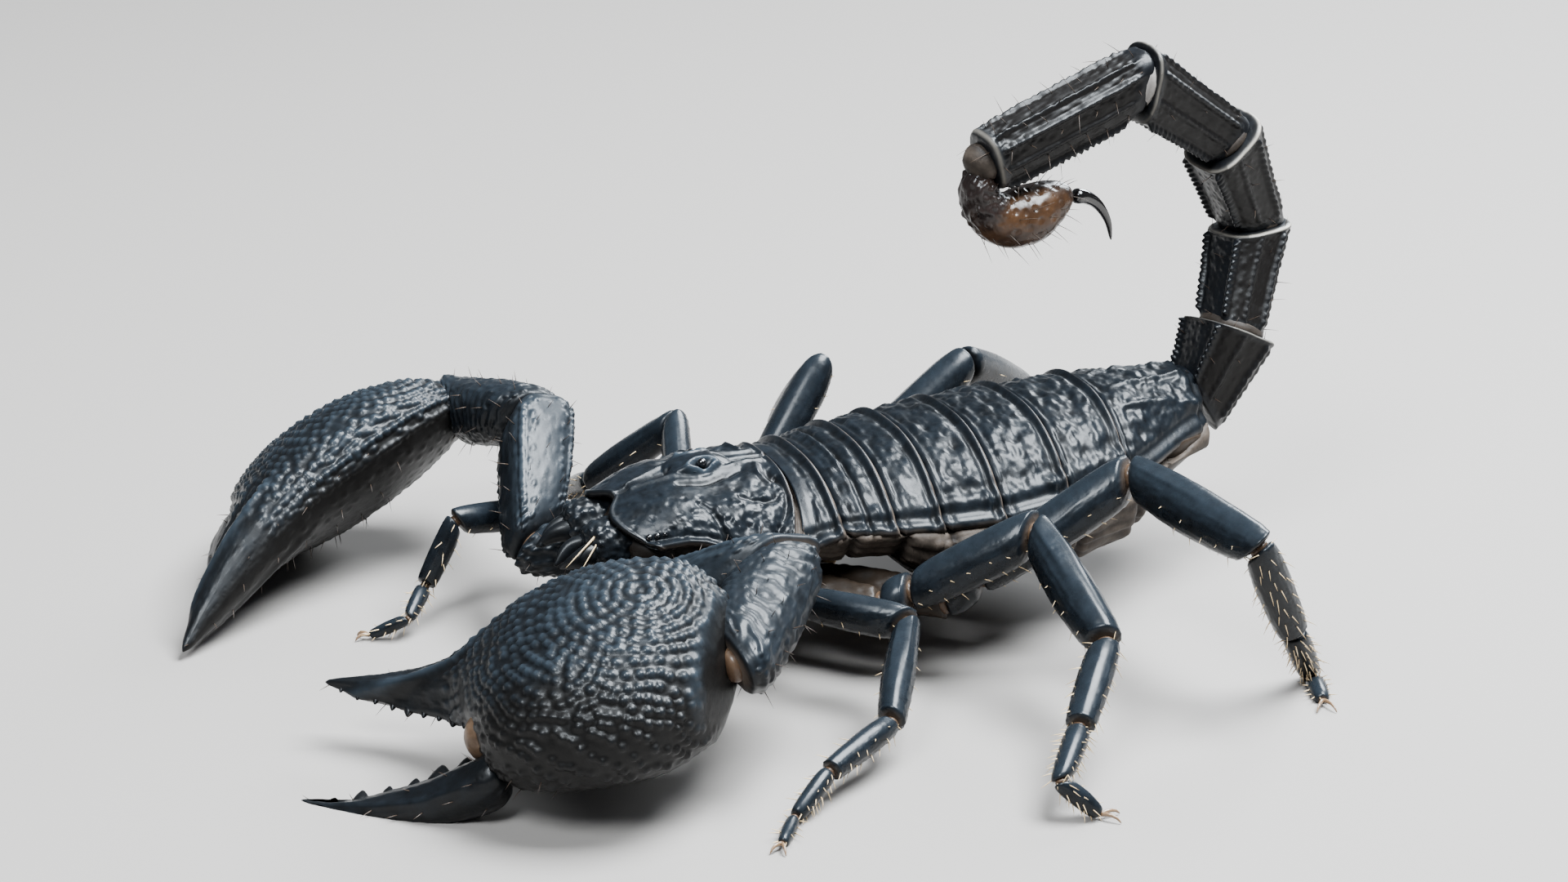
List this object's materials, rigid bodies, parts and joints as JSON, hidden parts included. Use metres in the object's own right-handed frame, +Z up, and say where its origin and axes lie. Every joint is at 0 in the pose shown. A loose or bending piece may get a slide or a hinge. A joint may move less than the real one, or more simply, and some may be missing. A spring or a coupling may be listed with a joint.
{
  "type": "emperor scorpion",
  "caption": "Black scorpion standing with broad granular claws held low and forward, long jointed legs and a raised tail curled over its back.",
  "frame": {"origin": "on the floor under the middle of the bounding box", "axes": "head toward -Y, the animal's left side toward +X, +Z up"},
  "size_m": [0.1144, 0.1316, 0.0638],
  "materials": {
    "back_cuticle": "blue-black wet-looking cuticle with wrinkled highlights",
    "claw_cuticle": "blue-black granular cuticle",
    "leg_cuticle": "smooth glossy blue-black cuticle with pale bristles",
    "tail_cuticle": "black to dark brown keeled cuticle",
    "amber_cuticle": "reddish-brown glossy telson",
    "sting_black": "polished black sting",
    "belly_cuticle": "dark brown belly plates",
    "soft_skin": "brown-grey striated skin between the plates",
    "comb_cuticle": "tan comb organs",
    "eye_black": "glossy black lenses"
  },
  "bodies": {
    "root": {"abdomen_soft": "soft_skin", "aculeus": "sting_black", "carapace": "back_cuticle", "chelicera_left": "claw_cuticle", "chelicera_right": "claw_cuticle", "eye_median_left": "eye_black", "eye_median_right": "eye_black", "eyes_lateral_left": "eye_black", "eyes_lateral_right": "eye_black", "leg_left_1_lower": "leg_cuticle", "leg_left_1_upper": "leg_cuticle", "leg_left_2_lower": "leg_cuticle", "leg_left_2_upper": "leg_cuticle", "leg_left_3_lower": "leg_cuticle", "leg_left_3_upper": "leg_cuticle", "leg_left_4_lower": "leg_cuticle", "leg_left_4_upper": "leg_cuticle", "leg_right_1_lower": "leg_cuticle", "leg_right_1_upper": "leg_cuticle", "leg_right_2_lower": "leg_cuticle", "leg_right_2_upper": "leg_cuticle", "leg_right_3_lower": "leg_cuticle", "leg_right_3_upper": "leg_cuticle", "leg_right_4_lower": "leg_cuticle", "leg_right_4_upper": "leg_cuticle", "metasoma_1": "tail_cuticle", "metasoma_2": "tail_cuticle", "metasoma_3": "tail_cuticle", "metasoma_4": "tail_cuticle", "metasoma_5": "tail_cuticle", "pecten_left": "comb_cuticle", "pecten_right": "comb_cuticle", "pedipalp_left_femur": "claw_cuticle", "pedipalp_left_hand": "claw_cuticle", "pedipalp_left_movable_finger": "claw_cuticle", "pedipalp_left_patella": "claw_cuticle", "pedipalp_left_trochanter": "claw_cuticle", "pedipalp_right_femur": "claw_cuticle", "pedipalp_right_hand": "claw_cuticle", "pedipalp_right_movable_finger": "claw_cuticle", "pedipalp_right_patella": "claw_cuticle", "pedipalp_right_trochanter": "claw_cuticle", "prosoma_underside": "belly_cuticle", "sternite_3": "belly_cuticle", "sternite_4": "belly_cuticle", "sternite_5": "belly_cuticle", "sternite_6": "belly_cuticle", "sternite_7": "belly_cuticle", "tergite_1": "back_cuticle", "tergite_2": "back_cuticle", "tergite_3": "back_cuticle", "tergite_4": "back_cuticle", "tergite_5": "back_cuticle", "tergite_6": "back_cuticle", "tergite_7": "back_cuticle", "vesicle": "amber_cuticle"}
  },
  "joints": []
}
